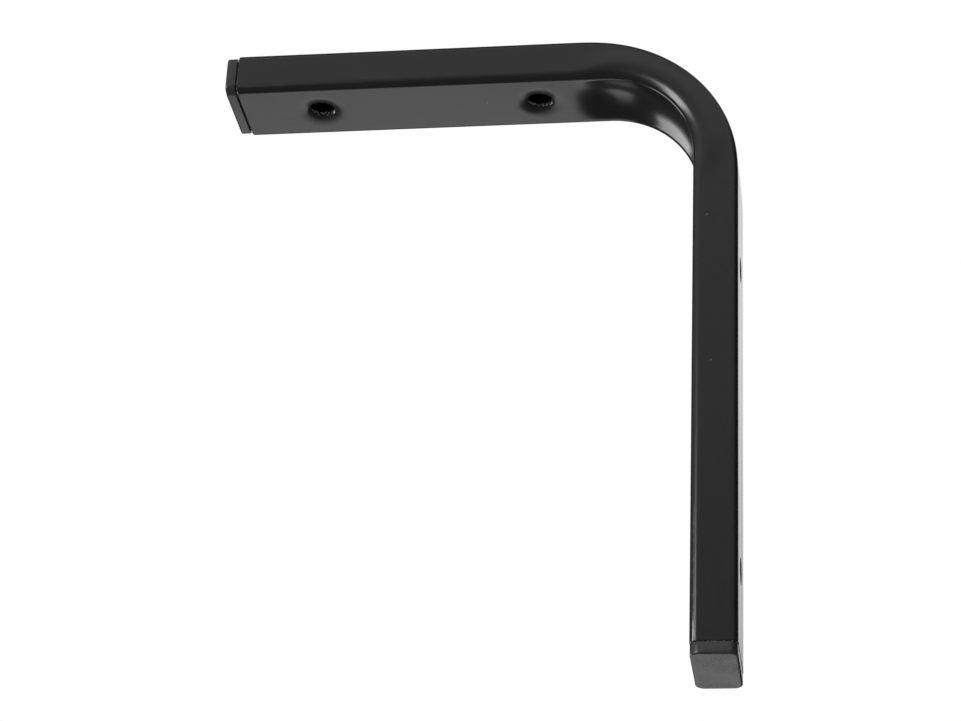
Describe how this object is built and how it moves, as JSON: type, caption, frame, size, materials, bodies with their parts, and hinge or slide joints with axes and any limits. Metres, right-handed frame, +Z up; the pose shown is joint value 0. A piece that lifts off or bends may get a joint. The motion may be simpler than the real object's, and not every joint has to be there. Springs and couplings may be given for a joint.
{
  "type": "shelf bracket",
  "caption": "Small shelf bracket bent from one flat black rectangular tube, with dimpled screw holes in both legs and plastic end caps.",
  "frame": {"origin": "on the face that lies against the wall, midway between the two screw holes of the wall leg", "axes": "+X out of the back towards the wall, +Z up towards the shelf, Y across the tube; the shelf leg runs towards -X"},
  "size_m": [0.118, 0.0206, 0.15],
  "materials": {
    "black_paint": "satin black paint on steel tube",
    "black_plastic": "moulded black plastic"
  },
  "bodies": {
    "root": {"tube": "black_paint", "shelf_end_cap": "black_plastic", "wall_end_cap": "black_plastic"}
  },
  "joints": []
}
